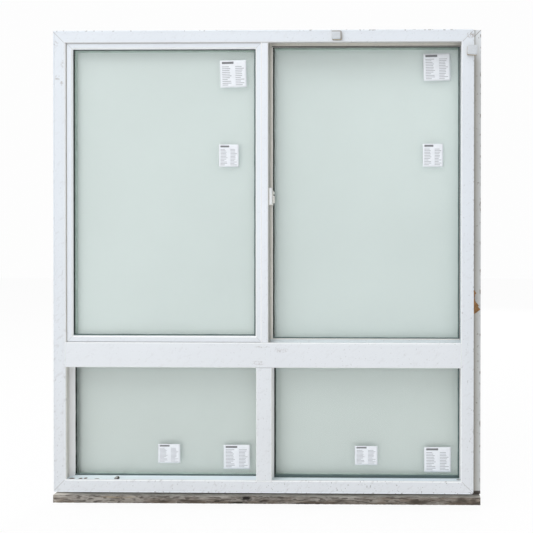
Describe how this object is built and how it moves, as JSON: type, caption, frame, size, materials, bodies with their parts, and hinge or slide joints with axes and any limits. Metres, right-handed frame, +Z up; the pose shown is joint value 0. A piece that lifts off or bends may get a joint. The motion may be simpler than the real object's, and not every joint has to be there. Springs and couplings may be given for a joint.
{
  "type": "horizontal sliding window",
  "caption": "White framed horizontal sliding window over fixed lights, double glazed with satin outer panes, with a wall flange round the frame and a timber bearer under it.",
  "frame": {"origin": "middle of the wall face of the bottom flange", "axes": "+X to the right seen from indoors, +Y from indoors to outdoors, +Z up"},
  "size_m": [1.697, 0.169, 1.88],
  "materials": {
    "frame": "white extruded vinyl",
    "sash": "white extruded vinyl",
    "flange": "white vinyl, dusty and scuffed",
    "clear_glass": "clear float glass",
    "satin_glass": "satin obscured glass",
    "spacer": "dark warm-edge spacer and sealant",
    "latch": "white moulded plastic",
    "pad": "pale foam pad with beige edges",
    "timber": "weathered grey softwood",
    "roller": "nylon"
  },
  "bodies": {
    "root": {"fixed_meeting_stile": "frame", "flange_head": "flange", "flange_left": "flange", "flange_right": "flange", "flange_sill": "flange", "frame_head": "frame", "frame_left": "frame", "frame_right": "frame", "frame_sill": "frame", "head_pad": "pad", "jamb_pad": "pad", "latch_case": "latch", "latch_lever": "latch", "latch_plate": "latch", "lower_left_inner_pane": "clear_glass", "lower_left_outer_bead": "frame", "lower_left_outer_pane": "satin_glass", "lower_left_spacer": "spacer", "lower_mullion": "frame", "lower_right_inner_pane": "clear_glass", "lower_right_outer_bead": "frame", "lower_right_outer_pane": "satin_glass", "lower_right_spacer": "spacer", "sash_bead_head": "sash", "sash_bead_left": "sash", "sash_bead_right": "sash", "sash_bead_sill": "sash", "sash_head": "sash", "sash_inner_pane": "clear_glass", "sash_left": "sash", "sash_outer_pane": "satin_glass", "sash_pull_rail": "sash", "sash_right": "sash", "sash_roller_left": "roller", "sash_roller_right": "roller", "sash_sill": "sash", "sash_spacer": "spacer", "timber_bearer": "timber", "transom": "frame", "upper_right_inner_pane": "clear_glass", "upper_right_outer_bead": "frame", "upper_right_outer_pane": "satin_glass", "upper_right_spacer": "spacer"}
  },
  "joints": []
}
